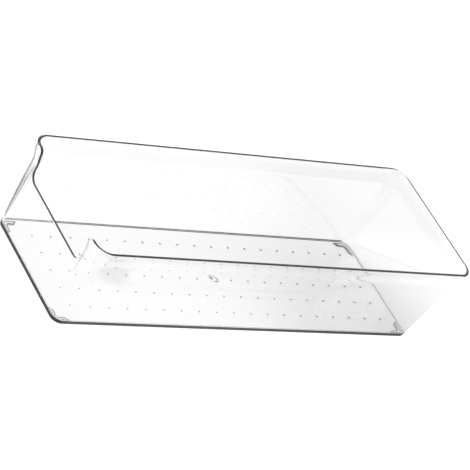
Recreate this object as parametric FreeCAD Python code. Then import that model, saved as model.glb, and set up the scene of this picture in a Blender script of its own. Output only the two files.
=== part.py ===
import FreeCAD, Part
import math
import os

# Clear drawer storage tray: one thin-walled moulding with a scooped front wall,
# standing on four small L-shaped pads under the corners of its base.
# Frame: X runs from the scooped front end (-X) to the back end (+X), Y runs across,
# Z is up. The origin lies on the floor plane, under the middle of the rim.
# All sizes are in millimetres, angles in degrees.

# Overall sizes of the moulding
RIM_LENGTH = 400.0
RIM_WIDTH = 131.0
BODY_HEIGHT = 84.0

# How far each wall leans out from the upright
FRONT_LEAN = 4.2
BACK_LEAN = 7.4
SIDE_LEAN = 4.8

# Thicknesses
WALL = 2.0
RIM_WALL = 2.5
FLOOR = 2.2

# Flared rim: a straight band at the very top, an S-shaped flare below it
RIM_BAND = 4.2
FLARE_HEIGHT = 12.5
FLARE_OUT = 1.8
FLARE_STEPS = 6

# Rounding
RIM_CORNER = 13.5
BASE_CORNER = 8.5
BOTTOM_ROUND = 0.4
INSIDE_ROUND = 2.0
RIM_EDGE_ROUND = 0.7

# Scoop in the front wall: it takes the rim's straight run between the corners,
# less its own rounded shoulders and a small gap at each corner
SCOOP_CORNER_GAP = 0.9
SCOOP_SIDE_LEAN = 2.8
SCOOP_DEPTH = 28.7
SCOOP_TOP_ROUND = 4.8
SCOOP_BOTTOM_ROUND = 8.0

# Raised dots on the floor, with the gate mark in the middle one's place
DOT_COLUMNS = 19
DOT_ROWS = 5
DOT_PITCH_ALONG = 18.5
DOT_PITCH_ACROSS = 18.8
DOT_DIAMETER = 2.8
DOT_HEIGHT = 0.5
DOT_ROOT = 0.9
GATE_DIAMETER = 8.0
GATE_DEPTH = 0.5

# L-shaped corner pads
PAD_HEIGHT = 1.6
PAD_EDGE_INSET = 3.2
PAD_ARM_WIDTH = 3.8
PAD_ARM_LENGTH = 15.0
PAD_INNER_ROUND = 2.5
PAD_EDGE_ROUND = 0.3

# How far a cutter runs past the wall it cuts, and how close two places count as one
CUTTER_REACH = 10.0
SAME_PLACE = 0.001


def smooth_step(t):
    return t * t * (3.0 - 2.0 * t)


def flare_at(height):
    """How far the outer face stands out beyond the plain lean, at a height over the base."""
    start = BODY_HEIGHT - RIM_BAND - FLARE_HEIGHT
    share = min(max((height - start) / FLARE_HEIGHT, 0.0), 1.0)
    return FLARE_OUT * smooth_step(share)


def wall_at(height):
    """Wall thickness at a height over the base: thicker in the rim band."""
    start = BODY_HEIGHT - RIM_BAND - FLARE_HEIGHT
    share = min(max((height - start) / FLARE_HEIGHT, 0.0), 1.0)
    return WALL + (RIM_WALL - WALL) * smooth_step(share)


def half_sizes(height, inset):
    """Front, back and side reach of the outline and its corner radius."""
    drop = BODY_HEIGHT - height
    lost = FLARE_OUT - flare_at(height) + inset
    front = RIM_LENGTH / 2.0 - drop * math.tan(math.radians(FRONT_LEAN)) - lost
    back = RIM_LENGTH / 2.0 - drop * math.tan(math.radians(BACK_LEAN)) - lost
    side = RIM_WIDTH / 2.0 - drop * math.tan(math.radians(SIDE_LEAN)) - lost
    share = height / BODY_HEIGHT
    corner = BASE_CORNER + (RIM_CORNER - BASE_CORNER) * share - inset
    return front, back, side, corner


def outline(height, inset, lift=0.0):
    """Closed rounded rectangle of the body at a height over the base."""
    front, back, side, corner = half_sizes(height, inset)
    z = height + PAD_HEIGHT + lift
    corners = (
        (back - corner, side - corner, 0.0),
        (-front + corner, side - corner, 90.0),
        (-front + corner, -side + corner, 180.0),
        (back - corner, -side + corner, 270.0),
    )
    ends = []
    edges = []
    for cx, cy, start in corners:
        arc = []
        for turn in (0.0, 45.0, 90.0):
            angle = math.radians(start + turn)
            arc.append(FreeCAD.Vector(cx + corner * math.cos(angle), cy + corner * math.sin(angle), z))
        ends.append(arc)
    for number, arc in enumerate(ends):
        edges.append(Part.Arc(*arc).toShape())
        following = ends[(number + 1) % len(ends)]
        edges.append(Part.LineSegment(arc[2], following[0]).toShape())
    return Part.Wire(edges)


def flare_heights():
    start = BODY_HEIGHT - RIM_BAND - FLARE_HEIGHT
    return [start + FLARE_HEIGHT * step / FLARE_STEPS for step in range(FLARE_STEPS + 1)]


def edges_at_height(shape, z):
    found = []
    for edge in shape.Edges:
        box = edge.BoundBox
        if abs(box.ZMin - z) < SAME_PLACE and abs(box.ZMax - z) < SAME_PLACE:
            found.append(edge)
    return found


def make_outer():
    """The outer form of the tray as a closed block."""
    heights = [0.0] + flare_heights() + [BODY_HEIGHT]
    block = Part.makeLoft([outline(h, 0.0) for h in heights], True, True)
    return block.makeFillet(BOTTOM_ROUND, edges_at_height(block, PAD_HEIGHT))


def make_inner():
    """The hollow, from the floor up past the rim, with rounded lower edges."""
    heights = [FLOOR] + flare_heights() + [BODY_HEIGHT]
    wires = [outline(h, wall_at(h)) for h in heights]
    wires.append(outline(BODY_HEIGHT, RIM_WALL, lift=CUTTER_REACH))
    block = Part.makeLoft(wires, True, True)
    return block.makeFillet(INSIDE_ROUND, edges_at_height(block, PAD_HEIGHT + FLOOR))


def cap_radius(diameter, height):
    return (diameter * diameter / 4.0 + height * height) / (2.0 * height)


def dot_places():
    """Centres of the floor dots; the middle place belongs to the gate mark."""
    for column in range(DOT_COLUMNS):
        for row in range(DOT_ROWS):
            x = (column - (DOT_COLUMNS - 1) / 2.0) * DOT_PITCH_ALONG
            y = (row - (DOT_ROWS - 1) / 2.0) * DOT_PITCH_ACROSS
            if math.hypot(x, y) < SAME_PLACE:
                continue
            yield x, y


def make_dots():
    """One round cap for each dot, reaching a little into the floor."""
    radius = cap_radius(DOT_DIAMETER, DOT_HEIGHT)
    low = math.degrees(math.asin((radius - DOT_HEIGHT - DOT_ROOT) / radius))
    centre_z = PAD_HEIGHT + FLOOR + DOT_HEIGHT - radius
    caps = []
    for x, y in dot_places():
        centre = FreeCAD.Vector(x, y, centre_z)
        caps.append(Part.makeSphere(radius, centre, FreeCAD.Vector(0, 0, 1), low, 90.0, 360.0))
    return caps


def make_gate_dish():
    """Ball that leaves the shallow round gate mark in the middle of the floor."""
    radius = cap_radius(GATE_DIAMETER, GATE_DEPTH)
    return Part.makeSphere(radius, FreeCAD.Vector(0, 0, PAD_HEIGHT + FLOOR - GATE_DEPTH + radius))


def scoop_half_width():
    """Half the scoop's width at the rim, between its rounded shoulders."""
    return RIM_WIDTH / 2.0 - RIM_CORNER - SCOOP_CORNER_GAP - SCOOP_TOP_ROUND


def make_scoop_cutter():
    """Prism through the front wall, with the scoop's rounded lower corners."""
    top = PAD_HEIGHT + BODY_HEIGHT
    above = top + CUTTER_REACH
    half_top = scoop_half_width()
    slope = math.tan(math.radians(SCOOP_SIDE_LEAN))
    half_low = half_top - SCOOP_DEPTH * slope
    half_above = half_top + CUTTER_REACH * slope
    x = -RIM_LENGTH / 2.0 - CUTTER_REACH
    wall_run = RIM_WALL + FLARE_OUT + SCOOP_DEPTH * math.tan(math.radians(FRONT_LEAN))
    reach = CUTTER_REACH + wall_run + CUTTER_REACH
    points = [
        FreeCAD.Vector(x, half_above, above),
        FreeCAD.Vector(x, half_low, top - SCOOP_DEPTH),
        FreeCAD.Vector(x, -half_low, top - SCOOP_DEPTH),
        FreeCAD.Vector(x, -half_above, above),
    ]
    face = Part.Face(Part.makePolygon(points + points[:1]))
    prism = face.extrude(FreeCAD.Vector(reach, 0, 0))
    lower = []
    for edge in prism.Edges:
        box = edge.BoundBox
        along = box.XLength > CUTTER_REACH
        if along and abs(box.ZMax - (top - SCOOP_DEPTH)) < SAME_PLACE:
            lower.append(edge)
    return prism.makeFillet(SCOOP_BOTTOM_ROUND, lower)


def scoop_top_edges(body):
    """The two short edges where the scoop's sides run out through the rim."""
    top = PAD_HEIGHT + BODY_HEIGHT
    half_top = scoop_half_width()
    found = []
    for edge in edges_at_height(body, top):
        box = edge.BoundBox
        through_wall = box.YLength < SAME_PLACE and box.XMax < 0.0
        if through_wall and abs(abs(box.YMin) - half_top) < SAME_PLACE:
            found.append(edge)
    return found


def rim_edges(body):
    """Every edge that bounds the rim's top face and the scoop's cut face."""
    top = PAD_HEIGHT + BODY_HEIGHT
    low = top - SCOOP_DEPTH
    wall_run = RIM_WALL + FLARE_OUT + SCOOP_DEPTH * math.tan(math.radians(FRONT_LEAN))
    rim_faces = []
    for face in body.Faces:
        box = face.BoundBox
        flat_top = box.ZLength < SAME_PLACE and abs(box.ZMax - top) < SAME_PLACE
        normal = face.normalAt(*face.Surface.parameter(face.CenterOfMass))
        runs_along = abs(normal.x) < SAME_PLACE and box.XLength < wall_run
        in_scoop = runs_along and box.XMax < 0.0 and box.ZMin > low - SAME_PLACE
        if flat_top or in_scoop:
            rim_faces.append(face)
    edges = []
    for face in rim_faces:
        for edge in face.Edges:
            shared = 0
            for other in rim_faces:
                for candidate in other.Edges:
                    if candidate.isSame(edge):
                        shared += 1
            if shared == 1:
                edges.append(edge)
    return edges


def make_tray():
    hollow = make_inner().cut(make_dots()).fuse(make_gate_dish())
    body = make_outer().cut(hollow)
    body = body.cut(make_scoop_cutter())
    body = body.makeFillet(SCOOP_TOP_ROUND, scoop_top_edges(body))
    body = body.makeFillet(RIM_EDGE_ROUND, rim_edges(body))
    return body.removeSplitter()


def make_pad(end, side):
    """L-shaped pad under one corner; end and side give the corner's signs."""
    front, back, half, outer_round = half_sizes(0.0, PAD_EDGE_INSET)
    reach_x = back if end > 0 else front
    # Corner-local outline: a runs in from the end wall, b runs in from the side wall
    inner_length = PAD_ARM_LENGTH - PAD_ARM_WIDTH
    arc_middle = outer_round * (1.0 - math.cos(math.radians(45.0)))
    inner_middle = PAD_INNER_ROUND * (1.0 - math.cos(math.radians(45.0)))

    def place(a, b):
        return FreeCAD.Vector(end * (reach_x - a), side * (half - b), 0.0)

    w = PAD_ARM_WIDTH
    r = PAD_INNER_ROUND
    edges = [
        Part.LineSegment(place(PAD_ARM_LENGTH, 0.0), place(outer_round, 0.0)),
        Part.Arc(place(outer_round, 0.0), place(arc_middle, arc_middle), place(0.0, outer_round)),
        Part.LineSegment(place(0.0, outer_round), place(0.0, PAD_ARM_LENGTH)),
        Part.LineSegment(place(0.0, PAD_ARM_LENGTH), place(w, inner_length)),
        Part.LineSegment(place(w, inner_length), place(w, w + r)),
        Part.Arc(place(w, w + r), place(w + inner_middle, w + inner_middle), place(w + r, w)),
        Part.LineSegment(place(w + r, w), place(inner_length, w)),
        Part.LineSegment(place(inner_length, w), place(PAD_ARM_LENGTH, 0.0)),
    ]
    wire = Part.Wire([edge.toShape() for edge in edges])
    pad = Part.Face(wire).extrude(FreeCAD.Vector(0, 0, PAD_HEIGHT))
    return pad.makeFillet(PAD_EDGE_ROUND, edges_at_height(pad, 0.0))


def save(shape, name):
    shape.exportStep(os.path.join("parts", name + ".step"))
    print(name, "valid", shape.isValid(), "solids", len(shape.Solids), "volume", round(shape.Volume, 1))


os.makedirs("parts", exist_ok=True)
save(make_tray(), "tray_body")
for end_name, end in (("front", -1.0), ("back", 1.0)):
    for side_name, side in (("left", 1.0), ("right", -1.0)):
        save(make_pad(end, side), "pad_" + end_name + "_" + side_name)
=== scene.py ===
# %% [markdown]
# # A clear drawer tray
# The object is a long, narrow storage tray, moulded in one piece from clear plastic.
# Its front wall is scooped out, its rim flares a little, its floor carries rows of small
# raised dots, and four L-shaped pads lift it off whatever it stands on.
#
# The measured model of the tray is loaded first. It gives the place and the size of
# everything. This script then builds a finer tray over it, because a clear object shows
# every facet: light bends at both faces of every wall, so the walls have to be smooth.

import math

import bmesh
import bpy
import numpy as np
from mathutils import Matrix, Vector


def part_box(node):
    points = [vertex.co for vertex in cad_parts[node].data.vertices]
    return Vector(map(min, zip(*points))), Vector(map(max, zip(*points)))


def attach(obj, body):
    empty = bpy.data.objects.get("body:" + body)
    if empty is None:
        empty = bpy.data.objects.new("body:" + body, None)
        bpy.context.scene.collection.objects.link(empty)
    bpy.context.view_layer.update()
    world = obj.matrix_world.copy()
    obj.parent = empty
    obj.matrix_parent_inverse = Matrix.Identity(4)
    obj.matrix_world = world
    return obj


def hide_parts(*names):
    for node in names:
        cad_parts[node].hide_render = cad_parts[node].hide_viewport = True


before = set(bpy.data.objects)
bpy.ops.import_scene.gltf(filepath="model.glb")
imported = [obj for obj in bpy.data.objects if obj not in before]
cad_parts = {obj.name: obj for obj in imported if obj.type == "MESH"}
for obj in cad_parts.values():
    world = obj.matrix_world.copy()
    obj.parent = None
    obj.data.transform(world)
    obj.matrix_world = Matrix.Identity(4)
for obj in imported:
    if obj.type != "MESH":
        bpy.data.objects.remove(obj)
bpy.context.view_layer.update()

# %% [markdown]
# ## The sizes
# The tray's height, and the height of the pads under it, are read from the measured
# model. The rest are the sizes a maker would note down: how far each wall leans, how
# thick it is, and how large each rounding is. MEAN_LEAN stands for all four leans where
# the small roundings at the base are drawn, since there the difference can't be seen.
# Lengths are in metres, so each is written as a number of millimetres times MM.

# %% Sizes of the tray
MM = 0.001
tray_low, tray_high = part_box("tray_body")
PAD_HEIGHT = tray_low.z
BODY_HEIGHT = tray_high.z - tray_low.z
RIM_LENGTH = 400.0 * MM
RIM_WIDTH = 131.0 * MM
FRONT_LEAN = math.radians(4.2)
BACK_LEAN = math.radians(7.4)
SIDE_LEAN = math.radians(4.8)
MEAN_LEAN = math.radians(5.0)
WALL = 2.0 * MM
RIM_WALL = 2.5 * MM
FLOOR = 2.2 * MM
RIM_BAND = 4.2 * MM
FLARE_HEIGHT = 12.5 * MM
FLARE_OUT = 1.8 * MM
RIM_CORNER = 13.5 * MM
BASE_CORNER = 8.5 * MM
BOTTOM_ROUND = 0.4 * MM
INSIDE_ROUND = 2.0 * MM
RIM_EDGE_ROUND = 0.7 * MM
print("body height", round(BODY_HEIGHT / MM, 2), "mm, pads", round(PAD_HEIGHT / MM, 2), "mm")


# %% [markdown]
# ## The shape of the wall
# A moulded tray needs leaning walls, or it would not leave its mould. Seen from above,
# every level of it is a rectangle with rounded corners, a little larger than the one
# below. Such a wall could be a box with bevelled edges and a Solidify modifier, but then
# its corners would not grow towards the rim. So one rule gives the whole wall: a height,
# a place along the outline and a depth below the outer face give a point. Near the top
# the rule adds a soft S-shaped flare and a thicker band, which stiffen the rim.

# %% The outline at each height
def smooth_step(share):
    share = np.clip(share, 0.0, 1.0)
    return share * share * (3.0 - 2.0 * share)


def flare_share(height):
    """0 below the flare, 1 in the straight band at the rim."""
    start = BODY_HEIGHT - RIM_BAND - FLARE_HEIGHT
    return smooth_step((height - start) / FLARE_HEIGHT)


def wall_thickness(height):
    return WALL + (RIM_WALL - WALL) * flare_share(height)


def reaches(height):
    """How far the outer face reaches to the front, back and side, and its corner radius."""
    drop = BODY_HEIGHT - height
    lost = FLARE_OUT * (1.0 - flare_share(height))
    front = RIM_LENGTH / 2 - drop * math.tan(FRONT_LEAN) - lost
    back = RIM_LENGTH / 2 - drop * math.tan(BACK_LEAN) - lost
    side = RIM_WIDTH / 2 - drop * math.tan(SIDE_LEAN) - lost
    corner = BASE_CORNER + (RIM_CORNER - BASE_CORNER) * height / BODY_HEIGHT
    return front, back, side, corner


print("rim reaches", [round(float(r) / MM, 2) for r in reaches(BODY_HEIGHT)])
print("base reaches", [round(float(r) / MM, 2) for r in reaches(0.0)])


# %% [markdown]
# ## A point of the wall
# The outline is walked in eight stretches: four straight walls and the four corners
# between them. The front is stretch 0, and the rest follow anticlockwise, seen from
# above, so the even stretches are straight and the odd ones are corners.

# %% One rule for every point of the wall
CORNER_STARTS = {1: 180.0, 3: 270.0, 5: 0.0, 7: 90.0}


def wall_point(stretch, along, height, inset):
    """The point a share along a stretch, at a height, and at a depth below the outer face."""
    front, back, side, corner = reaches(height)
    z = PAD_HEIGHT + height
    flat = side - corner
    start, end = -front + corner, back - corner
    if stretch == 0:
        return np.array((-front + inset, flat * (1.0 - 2.0 * along), z))
    if stretch == 2:
        return np.array((start + (end - start) * along, -side + inset, z))
    if stretch == 4:
        return np.array((back - inset, flat * (2.0 * along - 1.0), z))
    if stretch == 6:
        return np.array((end + (start - end) * along, side - inset, z))
    centre_x = start if stretch in (1, 7) else end
    centre_y = -flat if stretch in (1, 3) else flat
    angle = math.radians(CORNER_STARTS[stretch] + 90.0 * along)
    radius = corner - inset
    return np.array((centre_x + radius * math.cos(angle), centre_y + radius * math.sin(angle), z))


print("middle of the front rim", wall_point(0, 0.5, BODY_HEIGHT, 0.0).round(4))


# %% [markdown]
# ## The scoop's outline
# The front wall is cut down in the middle, so that a hand reaches into the tray. On the
# flat front wall the cut is a line with four arcs: a rounded shoulder where it leaves the
# rim, a nearly upright side, a rounded lower corner and a level bottom, and the same
# again on the other side. It could be cut out with a Boolean, but a cut through a clear
# wall can leave thin faces that show as streaks. Here the wall's mesh follows the cut.
#
# Each point of the outline keeps two more things: the direction that leads into the
# plastic, because the rounded edge is swept along it, and the place below it at the base.
# That place is a share of half the front's flat, with 1 at its corner and 0 in its middle.

# %% Outline of the scoop
SCOOP_CORNER_GAP = 0.9 * MM
SCOOP_SIDE_LEAN = math.radians(2.8)
SCOOP_DEPTH = 28.7 * MM
SCOOP_TOP_ROUND = 4.8 * MM
SCOOP_BOTTOM_ROUND = 8.0 * MM
SHOULDER_STEPS = 12
SIDE_STEPS = 14
LOWER_STEPS = 14
BOTTOM_STEPS = 14
BASE_UNDER_RIM = 0.985
BASE_UNDER_SIDE = 0.955
BASE_UNDER_LOWER = 0.90
BASE_UNDER_BOTTOM = 0.66
QUARTER = math.radians(90.0)


def between(first, last, share):
    return first + (last - first) * share


def arc_rows(centre, radius, angles, steps, inwards, bases):
    """Rows along an arc: place, direction into the plastic, and place at the base."""
    rows = []
    for step in range(steps + 1):
        share = step / steps
        angle = between(*angles, share)
        out = (math.cos(angle), math.sin(angle))
        place = (centre[0] + radius * out[0], centre[1] + radius * out[1])
        rows.append((place, (inwards * out[0], inwards * out[1]), between(*bases, share)))
    return rows


def scoop_half_outline():
    """Rows from the rim's corner to the scoop's middle; a place is (y, height)."""
    lean = SCOOP_SIDE_LEAN
    half_top = RIM_WIDTH / 2 - RIM_CORNER - SCOOP_CORNER_GAP - SCOOP_TOP_ROUND
    bottom = BODY_HEIGHT - SCOOP_DEPTH

    def side_line(height):
        return half_top - (BODY_HEIGHT - height) * math.tan(lean)

    shoulder_height = BODY_HEIGHT - SCOOP_TOP_ROUND
    shoulder = (side_line(shoulder_height) + SCOOP_TOP_ROUND / math.cos(lean), shoulder_height)
    lower_height = bottom + SCOOP_BOTTOM_ROUND
    lower = (side_line(lower_height) - SCOOP_BOTTOM_ROUND / math.cos(lean), lower_height)
    rows = arc_rows(shoulder, SCOOP_TOP_ROUND, (QUARTER, 2 * QUARTER - lean), SHOULDER_STEPS,
                    -1.0, (BASE_UNDER_RIM, BASE_UNDER_SIDE))
    first_height = rows[-1][0][1]
    last_height = lower[1] - SCOOP_BOTTOM_ROUND * math.sin(lean)
    for step in range(1, SIDE_STEPS):
        share = step / SIDE_STEPS
        height = between(first_height, last_height, share)
        rows.append(((side_line(height), height), (math.cos(lean), -math.sin(lean)),
                     between(BASE_UNDER_SIDE, BASE_UNDER_LOWER, share)))
    rows += arc_rows(lower, SCOOP_BOTTOM_ROUND, (-lean, -QUARTER), LOWER_STEPS,
                     1.0, (BASE_UNDER_LOWER, BASE_UNDER_BOTTOM))
    middle = rows[-1][0][0]
    for step in range(1, BOTTOM_STEPS + 1):
        share = step / BOTTOM_STEPS
        rows.append(((middle * (1.0 - share), bottom), (0.0, -1.0), BASE_UNDER_BOTTOM * (1.0 - share)))
    return rows


half_outline = scoop_half_outline()
print("scoop outline points on each side", len(half_outline))

# %% [markdown]
# ## The columns of the wall
# The wall's mesh is made of columns that run from the rim down to the base. Around the
# sides and back they are upright. Below the scoop they fan out from its curved edge, so
# that the mesh follows the cut without a single broken face.

# %% Columns around the tray
CORNER_COLUMNS = 18
LONG_COLUMNS = 40
BACK_COLUMNS = 14


def front_columns():
    """Columns of the front wall, from the left corner (+Y) to the right one."""
    columns = []
    rim_end = (wall_point(0, 0.0, BODY_HEIGHT, 0.0)[1], BODY_HEIGHT)
    half = [(rim_end, (0.0, -1.0), 1.0)] + half_outline
    for place, into, base in half:
        columns.append(("front", place, into, base))
    for place, into, base in reversed(half[:-1]):
        columns.append(("front", (-place[0], place[1]), (-into[0], into[1]), -base))
    return columns


def all_columns():
    """The front's columns, then plain ones: a stretch and the share along it."""
    columns = front_columns()
    counts = {1: CORNER_COLUMNS, 2: LONG_COLUMNS, 3: CORNER_COLUMNS, 4: BACK_COLUMNS,
              5: CORNER_COLUMNS, 6: LONG_COLUMNS, 7: CORNER_COLUMNS}
    for stretch, count in counts.items():
        last = count if stretch < 7 else count - 1
        for step in range(1, last + 1):
            columns.append(("plain", stretch, step / count))
    return columns


columns = all_columns()
print("columns around the tray", len(columns))

# %% [markdown]
# ## Points of one column
# A ring of the mesh crosses every column at the same level. Around the sides and back a
# level is a height. At the front the upper end follows the scoop, so near it a level is
# a distance in from that edge, below that a share of the way down, and at the base a
# height again. EDGE_REACH is how far in from the upper end the distances are used.
#
# The scoop's cut edge is made crisper than the moulded rim. The bend of the light then
# packs into a line as thin as the one a real tray shows there. The columns that belong to
# the scoop are those that come down at the base nearer to the middle than SCOOP_FROM.

# %% Points of one column at each level
EDGE_REACH = 1.6 * MM
SCOOP_CRISPNESS = 0.25
SCOOP_FROM = 0.96


def front_flat(height):
    """Half the width of the front wall's flat part."""
    front, back, side, corner = reaches(height)
    return side - corner


def plain_point(column, level, inset, lowest):
    kind, value = level
    top = BODY_HEIGHT - EDGE_REACH
    heights = {"edge": BODY_HEIGHT - value, "wall": top + (lowest - top) * value, "base": value}
    height = heights[kind]
    return wall_point(column[1], column[2], height, inset(height, 1.0))


def front_point(column, level, inset, lowest):
    kind, value = level
    place, into, base = column[1:]
    crisp = 1.0
    if kind == "edge":
        crisp = SCOOP_CRISPNESS if abs(base) < SCOOP_FROM else 1.0
        distance = value if value > RIM_EDGE_ROUND else value * crisp
        height = place[1] + into[1] * distance
        across = (place[0] + into[0] * distance) / front_flat(height)
    elif kind == "wall":
        start = place[1] + into[1] * EDGE_REACH
        height = start + (lowest - start) * value
        across = (place[0] + into[0] * EDGE_REACH) / front_flat(start)
        across = across + (base - across) * value
    else:
        height = value
        across = base
    return wall_point(0, (1.0 - across) / 2.0, height, inset(height, crisp))


def column_point(column, level, inset, lowest):
    """A point of a column. Level is (kind, value): "edge" is a distance in from the
    column's upper end, "wall" is a share of the way down to the lowest height, and
    "base" is a height over the body's underside."""
    make_point = plain_point if column[0] == "plain" else front_point
    return make_point(column, level, inset, lowest)


print("flat part of the front, at the rim", round(float(2 * front_flat(BODY_HEIGHT)) / MM, 1), "mm")


# %% [markdown]
# ## Rings from the inside floor over the rim to the underside
# The tray's section is one closed line: up the inside wall, over the rounded rim, down
# the outside wall and in under the base. Each point of that line becomes a ring around
# the tray, and neighbouring rings are joined by four-sided faces. A narrow flat margin
# beside each rounding keeps the shading of the flat floor truly flat.
#
# A ring is a level, a rule for its depth and the lowest height its wall comes down to.
# The rule gives the depth below the outer face from the height, and from how crisp the
# edge is at that column.

# %% Rules for the depth of a ring
def from_outside(depth):
    """A depth below the outer face."""
    return lambda height, crisp: depth * crisp


def from_inside(depth):
    """A depth below the inner face, measured from the outer one."""
    return lambda height, crisp: wall_thickness(height) - depth * crisp


def round_inset(radius, height, thickness):
    """Depth of a rounded lower edge below the plain wall, at a height over its floor."""
    swing = math.sqrt(max(radius * radius - (radius - height) ** 2, 0.0))
    return thickness + radius / math.cos(MEAN_LEAN) + (height - radius) * math.tan(MEAN_LEAN) - swing


print("inner face at the rim lies", round(float(from_inside(0.0)(BODY_HEIGHT, 1.0)) / MM, 2), "mm deep")


# %% [markdown]
# ## From the rules to the points
# The list of rings runs once around the section: the inside of the floor's edge, the
# inner wall from low to high, the two halves of the rounded rim, the outer wall from high
# to low and the base's edge. Many rings on the walls cost little, and they keep the light
# bending evenly where the wall flares. Every ring crosses every column in one point.

# %% The rings of the shell
EDGE_STEPS = 6
WALL_STEPS = 64
ROUND_STEPS = 9
FLAT_MARGIN = 0.8 * MM


def lower_round(radius, floor, thickness):
    """Levels and rules of a rounded lower edge, from the wall to the floor's flat margin."""
    rows = []
    for step in range(1, ROUND_STEPS + 1):
        angle = MEAN_LEAN + (math.pi / 2 - MEAN_LEAN) * step / ROUND_STEPS
        height = radius * (1.0 - math.sin(angle))
        rows.append((("base", floor + height), from_outside(round_inset(radius, height, thickness))))
    flat = round_inset(radius, 0.0, thickness) + FLAT_MARGIN
    rows.append((("base", floor), from_outside(flat)))
    return rows


def rim_round(rule, rising):
    """Levels and rules of one half of the rounded rim edge."""
    rows = []
    for step in range(EDGE_STEPS + 1):
        angle = math.pi / 2 * step / EDGE_STEPS
        lift = RIM_EDGE_ROUND * (1.0 - (math.sin(angle) if rising else math.cos(angle)))
        pull = RIM_EDGE_ROUND * (1.0 - (math.cos(angle) if rising else math.sin(angle)))
        rows.append((("edge", lift), rule(pull)))
    return rows


def shell_rings():
    outside_low = BOTTOM_ROUND * (1.0 - math.sin(MEAN_LEAN))
    inside_low = FLOOR + INSIDE_ROUND * (1.0 - math.sin(MEAN_LEAN))
    below_edge = ("edge", (EDGE_REACH + RIM_EDGE_ROUND) / 2)
    down = [("wall", step / WALL_STEPS) for step in range(WALL_STEPS + 1)]
    inside = lower_round(INSIDE_ROUND, FLOOR, WALL)[::-1]
    inside += [(level, from_inside(0.0)) for level in reversed(down)]
    inside += [(below_edge, from_inside(0.0))] + rim_round(from_inside, True)
    outside = rim_round(from_outside, False) + [(below_edge, from_outside(0.0))]
    outside += [(level, from_outside(0.0)) for level in down]
    outside += lower_round(BOTTOM_ROUND, 0.0, 0.0)
    rings = [(level, rule, inside_low) for level, rule in inside]
    return rings + [(level, rule, outside_low) for level, rule in outside]


rings = shell_rings()
points = np.array([[column_point(column, level, rule, low) for column in columns]
                   for level, rule, low in rings])
print("rings", len(rings), "points", points.shape[0] * points.shape[1])

# %% [markdown]
# ## The dotted floor
# The floor is studded with small raised dots, which keep things from sticking to it. They
# stand on a regular grid, so one square of floor with its dot is modelled once, and a
# Geometry Nodes tree lays it out in columns and rows. The middle square is different: the
# molten plastic entered there, and left a shallow dish with a small broken stub. After
# the squares are laid, their shared corners are merged, so they are one sheet.
#
# A bump map would be quicker, but it has no height of its own: the dots would vanish from
# the side, and the finished mesh would have a plain floor.

# %% Shapes of a dot and of the gate mark
DOT_RADIUS = 2.2 * MM
DOT_HEIGHT = 0.50 * MM
GATE_RADIUS = 4.4 * MM
GATE_DEPTH = 0.3 * MM
STUB_LONG = 4.0 * MM
STUB_SHORT = 2.5 * MM
STUB_TAIL = 2.2 * MM
STUB_TAIL_POINT = 12
STUB_TURN = math.radians(140.0)
STUB_HEIGHT = 0.75 * MM
STUB_STEEPNESS = 3
STUB_SHARE = 0.7
DISH_RIM = 0.4 * MM


def dot_shape(share, angle):
    """A dot: distance from its middle and height, with a soft foot."""
    return DOT_RADIUS * share, DOT_HEIGHT * (0.5 + 0.5 * math.cos(math.pi * share))


def stub_reach(angle):
    """Outline of the torn stub: an oval with a tail on one side."""
    turned = angle - STUB_TURN
    oval = 1.0 / math.hypot(math.cos(turned) / STUB_LONG, math.sin(turned) / STUB_SHORT)
    return oval + STUB_TAIL * max(0.0, math.cos(turned)) ** STUB_TAIL_POINT


def gate_shape(share, angle):
    """The gate mark: a flat stub with steep sides, standing in a soft shallow dish."""
    stub = stub_reach(angle)
    if share <= STUB_SHARE:
        part = share / STUB_SHARE
        return stub * part, STUB_HEIGHT * (1.0 - part ** STUB_STEEPNESS) - GATE_DEPTH
    part = (share - STUB_SHARE) / (1.0 - STUB_SHARE)
    reach = max(GATE_RADIUS, stub + DISH_RIM)
    return stub + (reach - stub) * part, -GATE_DEPTH * (0.5 + 0.5 * math.cos(math.pi * part))


print("a dot is", dot_shape(0.0, 0.0)[1] / MM, "mm high and", 2 * dot_shape(1.0, 0.0)[0] / MM, "mm wide")


# %% [markdown]
# ## A square of floor around each shape
# Rings of faces follow the rule of the dot or of the gate mark, out to its foot. One more
# ring is flat, and the rest of the square is filled with triangles. All corners of a
# square lie on the grid, so neighbouring squares meet without a seam.

# %% One square of floor around each shape
DOT_PITCH_ALONG = 18.5 * MM
DOT_PITCH_ACROSS = 18.8 * MM
AROUND = 28
DOT_RINGS = 6
GATE_RINGS = 20


def raise_middle(bm, shape, ring_count):
    """Rings of faces that follow the rule of a shape, with a flat margin; the last ring."""
    centre = bm.verts.new((0.0, 0.0, shape(0.0, 0.0)[1]))
    previous = None
    for ring in range(1, ring_count + 2):
        share = min(ring / ring_count, 1.0)
        margin = FLAT_MARGIN if ring > ring_count else 0.0
        loop = []
        for step in range(AROUND):
            angle = 2.0 * math.pi * step / AROUND
            out, height = shape(share, angle)
            out += margin
            loop.append(bm.verts.new((out * math.cos(angle), out * math.sin(angle), height)))
        for step in range(AROUND):
            following = (step + 1) % AROUND
            if previous is None:
                bm.faces.new((centre, loop[step], loop[following]))
            else:
                bm.faces.new((previous[step], loop[step], loop[following], previous[following]))
        previous = loop
    return previous


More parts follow.
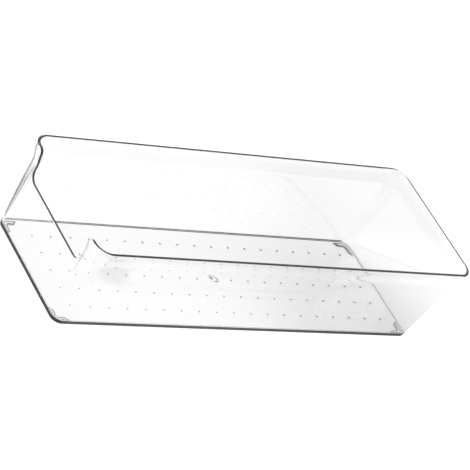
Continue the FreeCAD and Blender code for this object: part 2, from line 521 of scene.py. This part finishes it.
def make_square(name, shape, ring_count):
    """A square of floor whose middle follows the rule of a shape, the rest flat."""
    bm = bmesh.new()
    last = raise_middle(bm, shape, ring_count)
    half_x, half_y = DOT_PITCH_ALONG / 2, DOT_PITCH_ACROSS / 2
    corners = [bm.verts.new((x, y, 0.0)) for x, y in
               ((half_x, half_y), (-half_x, half_y), (-half_x, -half_y), (half_x, -half_y))]
    foot_edges = [bm.edges.get((last[i], last[(i + 1) % AROUND])) for i in range(AROUND)]
    square_edges = [bm.edges.new((corners[i], corners[(i + 1) % 4])) for i in range(4)]
    bmesh.ops.triangle_fill(bm, use_beauty=True, use_dissolve=False, edges=foot_edges + square_edges)
    bmesh.ops.recalc_face_normals(bm, faces=bm.faces)
    bm.normal_update()
    if sum(face.normal.z for face in bm.faces) < 0:
        bmesh.ops.reverse_faces(bm, faces=bm.faces)
    mesh = bpy.data.meshes.new(name)
    bm.to_mesh(mesh)
    bm.free()
    square = bpy.data.objects.new(name, mesh)
    bpy.context.scene.collection.objects.link(square)
    print(name, "faces", len(mesh.polygons))
    return square


dot_square = make_square("dot_square", dot_shape, DOT_RINGS)
gate_square = make_square("gate_square", gate_shape, GATE_RINGS)


# %% [markdown]
# ## The finish of moulded plastic
# Clear moulded plastic lets nearly all light through and bends it strongly. Its faces are
# never perfectly flat: the mould's polish and the cooling leave a faint waviness that only
# shows in reflections, and handling leaves patches that are a touch less glossy. Both the
# tray and its pads have this finish in different strengths, so it is one node group. It
# puts out a height for the bump and a roughness, both worked out from the object's own
# coordinates, so that no picture is needed.

# %% The shared finish of moulded plastic
HANDLING_SIZE = 35.0
HANDLING_DETAIL = 4.0


def make_moulded_finish():
    group = bpy.data.node_groups.new("moulded_finish", "ShaderNodeTree")
    sockets = group.interface
    for name, value in (("Wave Size", 20.0), ("Wave Height", 0.1), ("Gloss", 0.02), ("Haze", 0.02)):
        socket = sockets.new_socket(name=name, in_out="INPUT", socket_type="NodeSocketFloat")
        socket.default_value = value
    sockets.new_socket(name="Height", in_out="OUTPUT", socket_type="NodeSocketFloat")
    sockets.new_socket(name="Roughness", in_out="OUTPUT", socket_type="NodeSocketFloat")
    nodes, links = group.nodes, group.links
    given = nodes.new("NodeGroupInput")
    result = nodes.new("NodeGroupOutput")
    place = nodes.new("ShaderNodeTexCoord")
    wave = nodes.new("ShaderNodeTexNoise")
    wave.inputs["Detail"].default_value = 1.0
    links.new(place.outputs["Object"], wave.inputs["Vector"])
    links.new(given.outputs["Wave Size"], wave.inputs["Scale"])
    lift = nodes.new("ShaderNodeMath")
    lift.operation = "MULTIPLY"
    links.new(wave.outputs["Fac"], lift.inputs[0])
    links.new(given.outputs["Wave Height"], lift.inputs[1])
    links.new(lift.outputs[0], result.inputs["Height"])
    handling = nodes.new("ShaderNodeTexNoise")
    handling.inputs["Scale"].default_value = HANDLING_SIZE
    handling.inputs["Detail"].default_value = HANDLING_DETAIL
    links.new(place.outputs["Object"], handling.inputs["Vector"])
    dull = nodes.new("ShaderNodeMath")
    dull.operation = "MULTIPLY_ADD"
    links.new(handling.outputs["Fac"], dull.inputs[0])
    links.new(given.outputs["Haze"], dull.inputs[1])
    links.new(given.outputs["Gloss"], dull.inputs[2])
    links.new(dull.outputs[0], result.inputs["Roughness"])
    return group


moulded_finish = make_moulded_finish()
finish_inputs = [item.name for item in moulded_finish.interface.items_tree if item.in_out == "INPUT"]
print("inputs of the finish", finish_inputs)

# %% [markdown]
# ## Two clear plastics and a painted dark outline
# The tray is a hard clear plastic that bends light strongly, which is why its edges turn
# dark. The pads are a softer clear plastic with a little more haze. Their outlines are
# seen from above, through the floor, where a real pad's edge sends the light aside. In a
# small picture bent light alone draws that line too faintly, so a thin margin of each
# pad's top gets painted shade: a near-black material that lets no light through and stands
# in for the dark line that the bent light draws.

# %% Plastics for the tray and the pads, and the painted dark outline on the pads' margins
def make_plastic(name, colour, ior, wave_size, wave_height, gloss, haze, passes=1.0, shine=0.5):
    """Plastic with the shared finish. Passes is the share of the light that goes through."""
    material = bpy.data.materials.new(name)
    material.use_nodes = True
    nodes, links = material.node_tree.nodes, material.node_tree.links
    plastic = nodes["Principled BSDF"]
    plastic.inputs["Base Color"].default_value = (*colour, 1.0)
    plastic.inputs["IOR"].default_value = ior
    plastic.inputs["Transmission Weight"].default_value = passes
    plastic.inputs["Specular IOR Level"].default_value = shine
    finish = nodes.new("ShaderNodeGroup")
    finish.node_tree = moulded_finish
    finish.inputs["Wave Size"].default_value = wave_size
    finish.inputs["Wave Height"].default_value = wave_height
    finish.inputs["Gloss"].default_value = gloss
    finish.inputs["Haze"].default_value = haze
    bump = nodes.new("ShaderNodeBump")
    bump.inputs["Strength"].default_value = 1.0
    bump.inputs["Distance"].default_value = MM
    links.new(finish.outputs["Height"], bump.inputs["Height"])
    links.new(finish.outputs["Roughness"], plastic.inputs["Roughness"])
    links.new(bump.outputs["Normal"], plastic.inputs["Normal"])
    return material


clear_plastic = make_plastic(
    "clear_plastic", colour=(0.99, 0.99, 0.99), ior=1.57,
    wave_size=22.0, wave_height=0.10, gloss=0.0, haze=0.012)
clear_pad = make_plastic(
    "clear_pad", colour=(0.95, 0.95, 0.95), ior=1.45,
    wave_size=90.0, wave_height=0.05, gloss=0.03, haze=0.10)
# Painted shade: a near-black, lightless material that stands in for the dark line bent light draws at a
# pad's outline
painted_pad_outline = make_plastic(
    "painted_pad_outline", colour=(0.02, 0.02, 0.02), ior=1.45,
    wave_size=90.0, wave_height=0.05, gloss=0.30, haze=0.20, passes=0.0, shine=0.1)
print("materials", clear_plastic.name, clear_pad.name, painted_pad_outline.name)

# %% [markdown]
# ## Laying the floor's squares with Geometry Nodes
# Ninety-four dots and one gate mark on a grid are a pattern, so a node tree lays them. It
# makes a grid with one point for each square and puts the dot's square on every point but
# the middle one, which gets the gate mark's. A loop in Python could do the same, but here
# the pitch and the counts stay inputs that can be tried out by hand in the modifier. The
# tree ends with real faces that carry the plastic.

# %% The tree that lays the squares
MERGE_REACH = 0.02 * MM


def make_floor_tree():
    """The tree, and for each named input the identifier that a modifier sets it by."""
    tree = bpy.data.node_groups.new("dotted_floor", "GeometryNodeTree")
    sockets = tree.interface
    sockets.new_socket(name="Geometry", in_out="INPUT", socket_type="NodeSocketGeometry")
    named = {}
    for name, kind in (("Pitch Along", "NodeSocketFloat"), ("Pitch Across", "NodeSocketFloat"),
                       ("Columns", "NodeSocketInt"), ("Rows", "NodeSocketInt"),
                       ("Floor Level", "NodeSocketFloat"), ("Dot Square", "NodeSocketObject"),
                       ("Gate Square", "NodeSocketObject"), ("Plastic", "NodeSocketMaterial")):
        named[name] = sockets.new_socket(name=name, in_out="INPUT", socket_type=kind).identifier
    sockets.new_socket(name="Geometry", in_out="OUTPUT", socket_type="NodeSocketGeometry")
    nodes, links = tree.nodes, tree.links
    given = nodes.new("NodeGroupInput")
    result = nodes.new("NodeGroupOutput")

    def calculate(operation, first, second):
        node = nodes.new("ShaderNodeMath")
        node.operation = operation
        for socket, value in zip(node.inputs, (first, second)):
            if isinstance(value, float):
                socket.default_value = value
            else:
                links.new(value, socket)
        return node.outputs[0]

    column_count, row_count = given.outputs["Columns"], given.outputs["Rows"]
    column_gaps = calculate("SUBTRACT", column_count, 1.0)
    row_gaps = calculate("SUBTRACT", row_count, 1.0)
    grid = nodes.new("GeometryNodeMeshGrid")
    links.new(calculate("MULTIPLY", column_gaps, given.outputs["Pitch Along"]), grid.inputs["Size X"])
    links.new(calculate("MULTIPLY", row_gaps, given.outputs["Pitch Across"]), grid.inputs["Size Y"])
    links.new(column_count, grid.inputs["Vertices X"])
    links.new(row_count, grid.inputs["Vertices Y"])
    # The grid's points are numbered from 0, so the middle one plus a half is half their number
    half_number = calculate("MULTIPLY", calculate("MULTIPLY", column_count, row_count), 0.5)
    number = nodes.new("GeometryNodeInputIndex")
    is_middle = calculate("COMPARE", calculate("ADD", number.outputs[0], 0.5), half_number)
    is_middle.node.inputs[2].default_value = 0.25
    is_dot = calculate("SUBTRACT", 1.0, is_middle)
    join = nodes.new("GeometryNodeJoinGeometry")
    for square, chosen in (("Dot Square", is_dot), ("Gate Square", is_middle)):
        source = nodes.new("GeometryNodeObjectInfo")
        links.new(given.outputs[square], source.inputs["Object"])
        laid = nodes.new("GeometryNodeInstanceOnPoints")
        links.new(grid.outputs["Mesh"], laid.inputs["Points"])
        links.new(chosen, laid.inputs["Selection"])
        links.new(source.outputs["Geometry"], laid.inputs["Instance"])
        links.new(laid.outputs["Instances"], join.inputs["Geometry"])
    real = nodes.new("GeometryNodeRealizeInstances")
    links.new(join.outputs["Geometry"], real.inputs["Geometry"])
    merge = nodes.new("GeometryNodeMergeByDistance")
    merge.inputs["Distance"].default_value = MERGE_REACH
    links.new(real.outputs["Geometry"], merge.inputs["Geometry"])
    level = nodes.new("ShaderNodeCombineXYZ")
    links.new(given.outputs["Floor Level"], level.inputs["Z"])
    move = nodes.new("GeometryNodeTransform")
    links.new(merge.outputs["Geometry"], move.inputs["Geometry"])
    links.new(level.outputs[0], move.inputs["Translation"])
    paint = nodes.new("GeometryNodeSetMaterial")
    links.new(move.outputs["Geometry"], paint.inputs["Geometry"])
    links.new(given.outputs["Plastic"], paint.inputs["Material"])
    links.new(paint.outputs["Geometry"], result.inputs["Geometry"])
    return tree, named


floor_tree, floor_inputs = make_floor_tree()
print("inputs of the floor's tree", list(floor_inputs))

# %% [markdown]
# ## From the tree to a plain mesh
# The tree works as a modifier on an empty mesh. Its inputs are set before it runs for the
# first time. Then the result is copied out as a plain mesh, which can be sewn into the
# tray, and the modifier and the sample squares are thrown away.

# %% Run the tree and keep its mesh
DOT_COLUMNS = 19
DOT_ROWS = 5

floor_maker = bpy.data.objects.new("dotted_floor", bpy.data.meshes.new("dotted_floor"))
bpy.context.scene.collection.objects.link(floor_maker)
laying = floor_maker.modifiers.new("dotted_floor", "NODES")
laying.node_group = floor_tree
for input_name, value in (("Pitch Along", DOT_PITCH_ALONG), ("Pitch Across", DOT_PITCH_ACROSS),
                          ("Columns", DOT_COLUMNS), ("Rows", DOT_ROWS),
                          ("Floor Level", PAD_HEIGHT + FLOOR), ("Dot Square", dot_square),
                          ("Gate Square", gate_square), ("Plastic", clear_plastic)):
    laying[floor_inputs[input_name]] = value
bpy.context.view_layer.update()
evaluated = floor_maker.evaluated_get(bpy.context.evaluated_depsgraph_get())
floor_mesh = bpy.data.meshes.new_from_object(evaluated)
floor_maker.modifiers.remove(laying)
for used in (floor_maker, dot_square, gate_square):
    bpy.data.objects.remove(used)
print("dotted floor faces", len(floor_mesh.polygons))


# %% [markdown]
# ## Join the shell and the dotted floor
# The rings make everything but the two flat faces. The underside is closed by one face.
# On the inside, the sheet of dots is set into the floor, and the flat frame between it and
# the innermost ring is filled. The result is one closed skin, as the moulding is. It has
# to be closed: light that enters clear plastic must find its way out again.

# %% Build the tray
def sew_rings(bm, points):
    """Faces between neighbouring rings; gives back the first ring's edges."""
    loops = [[bm.verts.new(p) for p in ring] for ring in points]
    count = len(loops[0])
    for lower, upper in zip(loops, loops[1:]):
        for i in range(count):
            j = (i + 1) % count
            bm.faces.new((lower[i], lower[j], upper[j], upper[i]))
    bm.faces.new(loops[-1])
    return [bm.edges.get((loops[0][i], loops[0][(i + 1) % count])) for i in range(count)]


def build_tray(points, floor_mesh):
    bm = bmesh.new()
    inner_edges = sew_rings(bm, points)
    bm.from_mesh(floor_mesh)
    sheet_edges = [e for e in bm.edges if e.is_boundary and e not in set(inner_edges)]
    bmesh.ops.triangle_fill(bm, use_beauty=True, use_dissolve=False, edges=inner_edges + sheet_edges)
    bmesh.ops.recalc_face_normals(bm, faces=bm.faces)
    if bm.calc_volume(signed=True) < 0:
        bmesh.ops.reverse_faces(bm, faces=bm.faces)
    for face in bm.faces:
        face.smooth = True
        face.material_index = 0
    mesh = bpy.data.meshes.new("tray")
    bm.to_mesh(mesh)
    print("tray volume", round(bm.calc_volume() * 1e9), "mm3, faces", len(bm.faces))
    print("open edges", sum(1 for e in bm.edges if not e.is_manifold))
    bm.free()
    tray = bpy.data.objects.new("tray", mesh)
    bpy.context.scene.collection.objects.link(tray)
    mesh.materials.clear()
    mesh.materials.append(clear_plastic)
    return tray


tray = build_tray(points, floor_mesh)
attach(tray, "root")
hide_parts("tray_body")

# %% [markdown]
# ## The corner pads
# Under each corner of the base sits a low L-shaped pad that keeps the moulding off the
# drawer. Its outside follows the base's rounded corner and its ends are cut at a slant.
# The outline is drawn once, from the corner inwards, and turned to each corner by its
# signs. A hair of air is left above each pad: where clear plastic rests on clear plastic
# there is always some, and it is why the pads' outlines can be seen at all.

# %% The outline of a pad
PAD_EDGE_INSET = 3.2 * MM
PAD_ARM_WIDTH = 3.8 * MM
PAD_ARM_LENGTH = 15.0 * MM
PAD_INNER_ROUND = 2.5 * MM
PAD_OUTER_STEPS = 10
PAD_INNER_STEPS = 8


def arc_points(centre, radius, first, last, steps):
    points = []
    for step in range(steps + 1):
        angle = math.radians(first + (last - first) * step / steps)
        points.append((centre[0] + radius * math.cos(angle), centre[1] + radius * math.sin(angle)))
    return points


def pad_outline(corner):
    """L outline as distances in from the end wall and in from the side wall."""
    width, length, inner = PAD_ARM_WIDTH, PAD_ARM_LENGTH, PAD_INNER_ROUND
    outline = [(length, 0.0)]
    outline += arc_points((corner, corner), corner, 270.0, 180.0, PAD_OUTER_STEPS)
    outline += [(0.0, length), (width, length - width)]
    outline += arc_points((width + inner, width + inner), inner, 180.0, 270.0, PAD_INNER_STEPS)
    outline += [(length - width, width)]
    return outline


print("points of a pad's outline", len(pad_outline(BASE_CORNER - PAD_EDGE_INSET)))

# %% [markdown]
# ## A pad from its outline
# The outline is raised to the pad's height and its level edges are rounded a little. The
# top face is then drawn in by a thin margin, which gets painted shade: the near-black
# material that stands in for the dark outline that bent light draws. The sides and the
# sole stay clear, so from the side a pad looks as clear as it is. A face's upward share is
# 1 when it lies flat and 0 when it stands upright. It tells the flat top from the rounding
# beside it, and both from the sides.

# %% Build the four pads
PAD_EDGE_ROUND = 0.3 * MM
PAD_ROUND_STEPS = 3
# Width of the painted dark outline on each pad's top
PAD_PAINTED_SHADE_WIDTH = 0.9 * MM
AIR_GAP = 0.03 * MM
PAD_SHARP = math.radians(35.0)
MOST_CORNERS = 8
UP_FLAT = 0.99
UP_ROUNDED = 0.2


def shape_pad(end, side):
    """The pad's solid at one corner: end and side are the corner's signs."""
    front, back, reach_y, corner = reaches(0.0)
    reach_x = (back if end > 0 else front) - PAD_EDGE_INSET
    reach_y -= PAD_EDGE_INSET
    bm = bmesh.new()
    loop = [bm.verts.new((end * (reach_x - a), side * (reach_y - b), 0.0))
            for a, b in pad_outline(corner - PAD_EDGE_INSET)]
    sole = bm.faces.new(loop)
    raised = bmesh.ops.extrude_face_region(bm, geom=[sole])
    top = [v for v in raised["geom"] if isinstance(v, bmesh.types.BMVert)]
    bmesh.ops.translate(bm, vec=(0.0, 0.0, PAD_HEIGHT - AIR_GAP), verts=top)
    level_edges = [e for e in bm.edges if abs(e.verts[0].co.z - e.verts[1].co.z) < AIR_GAP]
    bmesh.ops.bevel(bm, geom=level_edges, offset=PAD_EDGE_ROUND, segments=PAD_ROUND_STEPS,
                    profile=0.5, affect="EDGES")
    bmesh.ops.recalc_face_normals(bm, faces=bm.faces)
    if bm.calc_volume(signed=True) < 0:
        bmesh.ops.reverse_faces(bm, faces=bm.faces)
    return bm


def paint_dark_outline(bm):
    """Material 1, the painted shade of the dark outline, on the margin and rounding of the top.
    Only the sole and the top's middle have many corners."""
    middles = [face for face in bm.faces if face.normal.z > UP_FLAT and len(face.verts) > MOST_CORNERS]
    bmesh.ops.inset_region(bm, faces=middles, thickness=PAD_PAINTED_SHADE_WIDTH, use_even_offset=True)
    bm.normal_update()
    for face in bm.faces:
        face.smooth = True
        # Margin faces get the painted shade that stands in for the dark outline
        in_painted_outline = face.normal.z > UP_ROUNDED and len(face.verts) <= MOST_CORNERS
        face.material_index = 1 if in_painted_outline else 0


def build_pad(end_name, end, side_name, side):
    bm = shape_pad(end, side)
    paint_dark_outline(bm)
    name = "pad_" + end_name + "_" + side_name
    mesh = bpy.data.meshes.new(name + "_clear")
    bm.to_mesh(mesh)
    bm.free()
    mesh.set_sharp_from_angle(angle=PAD_SHARP)
    pad = bpy.data.objects.new(name + "_clear", mesh)
    bpy.context.scene.collection.objects.link(pad)
    mesh.materials.append(clear_pad)
    mesh.materials.append(painted_pad_outline)
    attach(pad, "root")
    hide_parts(name)
    painted_outline_faces = sum(1 for polygon in mesh.polygons if polygon.material_index == 1)
    print(pad.name, "faces", len(mesh.polygons), "of them in its dark margin", painted_outline_faces)


for end_name, end in (("front", -1.0), ("back", 1.0)):
    for side_name, side in (("left", 1.0), ("right", -1.0)):
        build_pad(end_name, end, side_name, side)

# %% [markdown]
# ## The stage
# Clear things are drawn by what stands around them. The tray stands on a wide white
# floor that glows just enough to be pure white for the camera. The light that reaches the
# camera through the tray's edges comes from elsewhere on the floor, within about a hand's
# width. A photographer draws a clear object's outlines by laying dark cards there, out of
# the picture. The floor does that work here: for light that was bent or mirrored by the
# tray, its glow is uneven. Two small sums in nodes are enough to shape it.

# %% Sums and soft steps in nodes
def math_node(nodes, links, operation, *values):
    """A Math node fed with numbers or sockets; gives back its result socket."""
    node = nodes.new("ShaderNodeMath")
    node.operation = operation
    for socket, value in zip(node.inputs, values):
        if isinstance(value, (int, float)):
            socket.default_value = value
        else:
            links.new(value, socket)
    return node.outputs[0]


def soft_step(nodes, links, value, start, end, least=0.0):
    """Soft step of a socket's value: least at start and 1 at end."""
    fade = nodes.new("ShaderNodeMapRange")
    fade.interpolation_type = "SMOOTHSTEP"
    fade.inputs["From Min"].default_value = start
    fade.inputs["From Max"].default_value = end
    fade.inputs["To Min"].default_value = least
    links.new(value, fade.inputs["Value"])
    return fade.outputs[0]


print("helpers for sums and soft steps are ready")

# %% [markdown]
# ## The floor's glow and its dark cards
# Four things shape the glow. Broad soft areas shade the walls and the floor of the tray a
# little. The bright part of the floor ends to the right, to the front and to the back, as
# a table does, which helps to draw the right, near and far outlines. A long dark card
# starts at the tray's left corner and runs off at an angle: it draws the left outline. A
# small round card in front darkens the near side of the scoop, but only a little, and it
# shows through the walls as a soft grey oval. Leaving it out would be a fair choice too.
#
# Each place is in metres from the tray's middle. A pair of numbers is where a soft step
# starts and ends. For a table edge they are where the floor is still bright and where it
# is dark, and then the share of the glow that is left beyond it.

# %% Where the floor glows and where it is dark
GLOW_PLAIN = 0.72
GLOW_LEFT = 0.10
LEFT_ALONG = (0.12, -0.10)
LEFT_ACROSS = (0.10, 0.06)
GLOW_RIGHT = -0.09
RIGHT_ALONG = (0.10, 0.20)
RIGHT_ACROSS = (0.05, 0.09)
GLOW_SHADE = -0.22
SHADE_CENTRE = (0.15, -0.06)
SHADE_REACH = 0.16
TABLE_RIGHT = (0.36, 0.60, 0.75)
TABLE_FRONT = (-0.095, -0.16, 0.05)
TABLE_BACK = (0.23, 0.40, 0.75)
CARD_CORNER = (-0.194, 0.057)
CARD_TURN = math.radians(40.05)
CARD_EDGE = (0.002, 0.006)
CARD_END = (0.13, 0.10)
CARD_SPREAD = (2.2, 1.3)
CARD_BACK = (0.145, 0.115)
CARD_WIDE = (0.55, 0.85)
CARD_TIP = 0.001
SMALL_CARD = (-0.112, -0.118)
SMALL_CARD_REACH = (0.026, 0.014)


def glow_through_the_tray(nodes, links, x, y):
    """Strength of the floor's glow for light that the tray has bent or mirrored."""
    def calculate(operation, *values):
        return math_node(nodes, links, operation, *values)

    def step(value, *limits):
        return soft_step(nodes, links, value, *limits)

    def distance_from(centre):
        along_x = calculate("SUBTRACT", x, centre[0])
        along_y = calculate("SUBTRACT", y, centre[1])
        square_x = calculate("MULTIPLY", along_x, along_x)
        square_y = calculate("MULTIPLY", along_y, along_y)
        return calculate("SQRT", calculate("ADD", square_x, square_y))

    left = calculate("MULTIPLY", step(x, *LEFT_ALONG), step(y, *LEFT_ACROSS))
    right = calculate("MULTIPLY", step(x, *RIGHT_ALONG), step(y, *RIGHT_ACROSS))
    shade = step(distance_from(SHADE_CENTRE), SHADE_REACH, 0.0)
    glow = GLOW_PLAIN
    for amount, where in ((GLOW_LEFT, left), (GLOW_RIGHT, right), (GLOW_SHADE, shade)):
        glow = calculate("MULTIPLY_ADD", where, amount, glow)
    # The long card is measured along its turned edge and beside it
    card_x = calculate("SUBTRACT", x, CARD_CORNER[0])
    card_y = calculate("SUBTRACT", y, CARD_CORNER[1])
    beside = calculate("ADD", calculate("MULTIPLY", card_x, -math.sin(CARD_TURN)),
                       calculate("MULTIPLY", card_y, math.cos(CARD_TURN)))
    along = calculate("ADD", calculate("MULTIPLY", card_x, math.cos(CARD_TURN)),
                      calculate("MULTIPLY", card_y, math.sin(CARD_TURN)))
    spread = calculate("DIVIDE", beside, calculate("MAXIMUM", along, CARD_TIP))
    card = calculate("MULTIPLY", step(beside, *CARD_EDGE), step(beside, *CARD_END))
    card = calculate("MULTIPLY", card, step(spread, *CARD_SPREAD))
    card = calculate("MULTIPLY", card, calculate("MAXIMUM", step(y, *CARD_BACK), step(spread, *CARD_WIDE)))
    small_card = step(distance_from(SMALL_CARD), *SMALL_CARD_REACH)
    bright = calculate("SUBTRACT", 1.0, calculate("MAXIMUM", card, small_card))
    for value, (bright_at, dark_at, least) in ((x, TABLE_RIGHT), (y, TABLE_FRONT), (y, TABLE_BACK)):
        bright = calculate("MULTIPLY", bright, step(value, dark_at, bright_at, least))
    return calculate("MULTIPLY", glow, bright)


print("glow through the tray", GLOW_PLAIN, "and under its right part", round(GLOW_PLAIN + GLOW_SHADE, 2))

# %% [markdown]
# ## The floor
# The floor's material sends out two different glows. The camera sees an even white one.
# Light that was bent or mirrored by the tray meets the shaped one from the last step. The
# colour itself is a mid grey for all light, so the tray's shadow stays soft and pale.

# %% Floor
FLOOR_DROP = 0.2 * MM
FLOOR_SIZE = 60.0
FLOOR_COLOUR = 0.35
GLOW_SEEN = 0.90


def make_floor_material():
    material = bpy.data.materials.new("white_floor")
    material.use_nodes = True
    nodes, links = material.node_tree.nodes, material.node_tree.links
    surface = nodes["Principled BSDF"]
    surface.inputs["Base Color"].default_value = (FLOOR_COLOUR, FLOOR_COLOUR, FLOOR_COLOUR, 1.0)
    surface.inputs["Roughness"].default_value = 1.0
    surface.inputs["Specular IOR Level"].default_value = 0.0
    surface.inputs["Emission Color"].default_value = (1.0, 1.0, 1.0, 1.0)
    place = nodes.new("ShaderNodeTexCoord")
    split = nodes.new("ShaderNodeSeparateXYZ")
    links.new(place.outputs["Object"], split.inputs[0])
    shaped = glow_through_the_tray(nodes, links, split.outputs["X"], split.outputs["Y"])
    path = nodes.new("ShaderNodeLightPath")
    mirrored, bent = path.outputs["Is Glossy Ray"], path.outputs["Is Transmission Ray"]
    through = math_node(nodes, links, "MAXIMUM", mirrored, bent)
    through = math_node(nodes, links, "MULTIPLY", through, shaped)
    direct = math_node(nodes, links, "MULTIPLY", path.outputs["Is Camera Ray"], GLOW_SEEN)
    glow = math_node(nodes, links, "ADD", through, direct)
    links.new(glow, surface.inputs["Emission Strength"])
    return material


floor_sheet = bpy.data.meshes.new("floor")
half = FLOOR_SIZE / 2
floor_corners = [(x * half, y * half, -FLOOR_DROP) for x, y in ((-1, -1), (1, -1), (1, 1), (-1, 1))]
floor_sheet.from_pydata(floor_corners, [], [(0, 1, 2, 3)])
floor_sheet.materials.append(make_floor_material())
floor = bpy.data.objects.new("floor", floor_sheet)
bpy.context.scene.collection.objects.link(floor)
print("floor", FLOOR_SIZE, "m wide,", FLOOR_DROP / MM, "mm below the pads")

# %% [markdown]
# ## The sky
# The camera sees a white sky. For all other light it is darker near the ground and
# brighter above, and a little brighter towards the tray's back end. Faces and edges that
# send the light up and away therefore turn a soft grey instead of vanishing.

# %% Sky
SKY_LOW = 0.30
SKY_TOP = 0.90
SKY_RISE = 0.5
SKY_SIDE = 0.25
SKY_SEEN = 1.0


def make_sky():
    world = bpy.data.worlds.new("studio")
    bpy.context.scene.world = world
    world.use_nodes = True
    nodes, links = world.node_tree.nodes, world.node_tree.links
    background = nodes["Background"]
    place = nodes.new("ShaderNodeTexCoord")
    split = nodes.new("ShaderNodeSeparateXYZ")
    links.new(place.outputs["Generated"], split.inputs[0])
    fade = nodes.new("ShaderNodeMapRange")
    fade.inputs["From Min"].default_value = 0.0
    fade.inputs["From Max"].default_value = SKY_RISE
    fade.inputs["To Min"].default_value = SKY_LOW
    fade.inputs["To Max"].default_value = SKY_TOP
    links.new(split.outputs["Z"], fade.inputs["Value"])
    side = math_node(nodes, links, "MULTIPLY_ADD", split.outputs["X"], SKY_SIDE, 1.0)
    level = math_node(nodes, links, "MULTIPLY", fade.outputs[0], side)
    path = nodes.new("ShaderNodeLightPath")
    # The Mix node's first number socket is its factor, and the next two are what it mixes
    choose = nodes.new("ShaderNodeMix")
    choose.data_type = "FLOAT"
    links.new(path.outputs["Is Camera Ray"], choose.inputs[0])
    links.new(level, choose.inputs[2])
    choose.inputs[3].default_value = SKY_SEEN
    links.new(choose.outputs[0], background.inputs["Strength"])
    background.inputs["Color"].default_value = (1.0, 1.0, 1.0, 1.0)


make_sky()
print("sky", SKY_LOW, "at the ground, rising to", SKY_TOP)

# %% [markdown]
# ## The lamp
# One large soft box stands high beyond the far side of the tray, towards its front end.
# It gives the pale shadow and the soft shine on the walls. More lamps would only add
# shine that the real tray does not show.

# %% Soft box
LAMP_PLACE = Vector((-0.6, 1.6, 1.7))
LAMP_SIZE = (1.4, 1.0)
LAMP_POWER = 14.0

lamp_data = bpy.data.lights.new("soft_box_left", "AREA")
lamp_data.shape = "RECTANGLE"
lamp_data.size, lamp_data.size_y = LAMP_SIZE
lamp_data.energy = LAMP_POWER
lamp = bpy.data.objects.new("soft_box_left", lamp_data)
bpy.context.scene.collection.objects.link(lamp)
lamp.rotation_euler = (-LAMP_PLACE).to_track_quat("-Z", "Y").to_euler()
lamp.location = LAMP_PLACE
print("lamp", lamp.name, LAMP_POWER, "W")

# %% [markdown]
# ## The camera
# The photograph looks down at the tray from its front right, with a long lens, and the
# camera was tipped on its side a good way, so the tray seems to slide down to the right.
# The view is given by its direction, the tilt, the distance and the point looked at.

# %% Place the camera
CAMERA_FROM = math.radians(-139.947)
CAMERA_UP = math.radians(31.038)
CAMERA_ROLL = math.radians(35.426)
CAMERA_DISTANCE = 2.117227
CAMERA_AIM = Vector((3.349 * MM, 11.123 * MM, 43.6 * MM))
CAMERA_LENS = 198.144
CAMERA_SENSOR = 36.0
CAMERA_SIGHT = 200.0


def place_camera():
    outwards = Vector((math.cos(CAMERA_FROM) * math.cos(CAMERA_UP),
                       math.sin(CAMERA_FROM) * math.cos(CAMERA_UP),
                       math.sin(CAMERA_UP)))
    data = bpy.data.cameras.new("camera")
    data.lens = CAMERA_LENS
    data.sensor_width = CAMERA_SENSOR
    data.clip_end = CAMERA_SIGHT
    camera = bpy.data.objects.new("camera", data)
    bpy.context.scene.collection.objects.link(camera)
    turn = (-outwards).to_track_quat("-Z", "Y").to_matrix().to_4x4()
    camera.matrix_world = (Matrix.Translation(CAMERA_AIM + outwards * CAMERA_DISTANCE)
                           @ turn @ Matrix.Rotation(CAMERA_ROLL, 4, "Z"))
    bpy.context.scene.camera = camera
    return camera


camera = place_camera()
bpy.context.view_layer.update()
print("camera at", [round(v, 4) for v in camera.matrix_world.translation])
print("camera forward", [round(v, 4) for v in camera.matrix_world.to_3x3() @ Vector((0, 0, -1))])
print("camera up", [round(v, 4) for v in camera.matrix_world.to_3x3() @ Vector((0, 1, 0))])

# %% [markdown]
# ## Colours
# The Standard view keeps each colour as it is written, so the white floor and sky stay
# white around the clear tray.

# %% Colours as they are
bpy.context.scene.view_settings.view_transform = "Standard"
